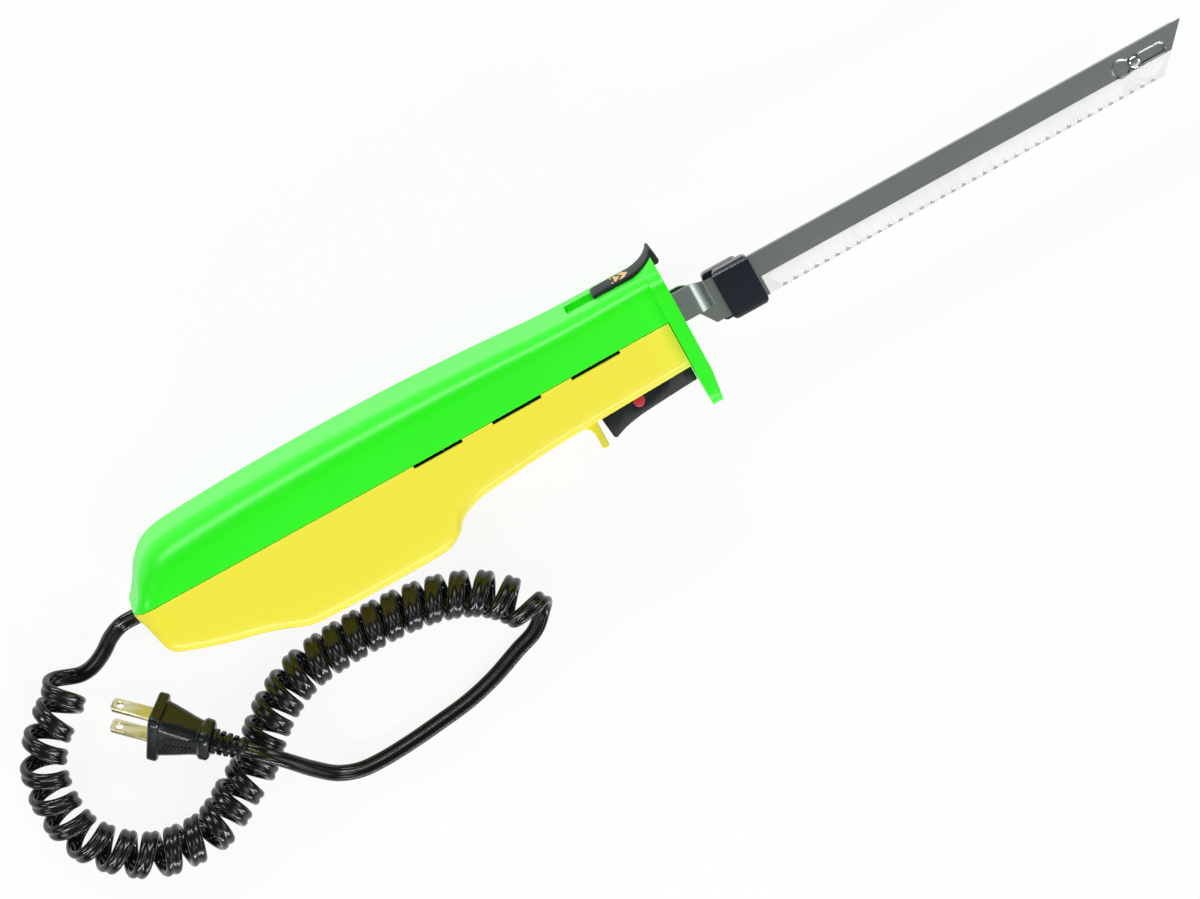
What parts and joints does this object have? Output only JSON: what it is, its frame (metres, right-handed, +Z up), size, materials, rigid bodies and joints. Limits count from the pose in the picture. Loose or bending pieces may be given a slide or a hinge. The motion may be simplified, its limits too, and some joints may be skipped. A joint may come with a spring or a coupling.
{
  "type": "electric fillet knife",
  "caption": "Corded electric fillet knife: two-tone shell handle with finger guard, trigger and thumb slide, paired serrated blades, curly cord and flat-pin plug.",
  "frame": {"origin": "the middle of the handle's flat far side, on which the knife lies", "axes": "+X from the rear of the handle to the blade tips, +Y from the heel of the handle to its back, +Z up from the table to the near side"},
  "size_m": [0.5445, 0.1376, 0.052],
  "materials": {
    "green_abs": "gloss moulded",
    "yellow_abs": "gloss moulded",
    "black_abs": "satin moulded",
    "black_nylon": "satin moulded",
    "red_abs": "gloss moulded",
    "white_acetal": "machined",
    "blade_steel": "brushed, ground bevel",
    "ground_steel": "ground",
    "spring_steel": "drawn",
    "zinc_steel": "zinc plated",
    "pressed_steel": "pressed",
    "lamination": "varnished sheets",
    "copper": "enamelled wire",
    "commutator_copper": "turned",
    "sintered_bronze": "sintered",
    "sheet_brass": "pressed",
    "plug_brass": "stamped",
    "carbon": "pressed carbon",
    "cord_pvc": "extruded",
    "plug_pvc": "moulded",
    "wire_pvc": "extruded"
  },
  "bodies": {
    "handle": {"upper_casing": "green_abs", "lower_casing": "yellow_abs", "screw_rear_near": "zinc_steel", "screw_rear_far": "zinc_steel", "screw_front_near": "zinc_steel", "screw_front_far": "zinc_steel", "field_stack": "lamination", "field_coil_top": "copper", "field_coil_bottom": "copper", "rear_bracket": "pressed_steel", "rear_bearing": "sintered_bronze", "middle_bearing": "sintered_bronze", "end_bush": "sintered_bronze", "near_brush_holder": "sheet_brass", "near_brush": "carbon", "near_brush_spring": "spring_steel", "far_brush_holder": "sheet_brass", "far_brush": "carbon", "far_brush_spring": "spring_steel", "drive_frame": "pressed_steel", "gear_axle": "ground_steel", "switch_body": "black_nylon", "trigger_pin": "ground_steel", "trigger_spring": "spring_steel", "release_spring": "spring_steel", "cord_grommet": "cord_pvc", "supply_wire": "wire_pvc", "return_wire": "wire_pvc", "motor_wire": "wire_pvc", "cord_lead": "cord_pvc", "cord_curls": "cord_pvc", "cord_tail": "cord_pvc", "plug_body": "plug_pvc", "plug_prong_upper": "plug_brass", "plug_prong_lower": "plug_brass", "plug_relief": "plug_pvc"},
    "armature": {"armature_shaft": "ground_steel", "armature_core": "lamination", "armature_winding": "copper", "commutator": "commutator_copper", "cooling_fan": "black_nylon"},
    "gear": {"drive_gear": "white_acetal"},
    "near_blade_set": {"near_drive_arm": "white_acetal", "near_blade": "blade_steel", "near_blade_clip": "black_nylon"},
    "far_blade_set": {"far_drive_arm": "white_acetal", "far_blade": "blade_steel", "far_blade_clip": "black_nylon", "tip_rivet": "ground_steel"},
    "trigger": {"trigger": "black_abs"},
    "lock_button": {"trigger_lock_button": "red_abs"},
    "release": {"release_slider": "black_abs", "release_latch": "pressed_steel"},
    "plunger": {"switch_plunger": "white_acetal"}
  },
  "joints": [
    {"name": "motor_spin", "type": "hinge", "parent": "handle", "child": "armature", "pos_m": [-0.008, 0.005, 0.026], "axis": [1, 0, 0], "continuous": true},
    {"name": "gear_spin", "type": "hinge", "parent": "handle", "child": "gear", "pos_m": [0.077, 0.0185, 0.026], "axis": [0, 0, 1], "continuous": true},
    {"name": "near_blade_slide", "type": "slide", "parent": "handle", "child": "near_blade_set", "axis": [1, 0, 0], "range_m": [-0.00545, 0.00175]},
    {"name": "far_blade_slide", "type": "slide", "parent": "handle", "child": "far_blade_set", "axis": [1, 0, 0], "range_m": [-0.00175, 0.00545]},
    {"name": "trigger_pull", "type": "hinge", "parent": "handle", "child": "trigger", "pos_m": [0.144, -0.0022, 0.026], "axis": [0, 0, -1], "range_deg": [0, 7], "stiffness_Nm_per_rad": 0.25, "springref_deg": -6.88, "deforming": ["trigger_spring"]},
    {"name": "lock_press", "type": "slide", "parent": "trigger", "child": "lock_button", "axis": [0, 0, -1], "range_m": [0, 0.0012], "stiffness_N_per_m": 150, "springref_m": -0.001},
    {"name": "release_slide", "type": "slide", "parent": "handle", "child": "release", "axis": [-1, 0, 0], "range_m": [0, 0.006], "stiffness_N_per_m": 400, "springref_m": -0.006, "deforming": ["release_spring"]},
    {"name": "plunger_press", "type": "slide", "parent": "handle", "child": "plunger", "axis": [0, 1, 0], "range_m": [0, 0.0018]}
  ],
  "couplings": [
    {"joint": "gear_spin", "follows": "motor_spin", "ratio": -0.05},
    {"joint": "far_blade_slide", "follows": "near_blade_slide", "ratio": -1},
    {"joint": "plunger_press", "follows": "trigger_pull", "m_per_rad": 0.014}
  ]
}
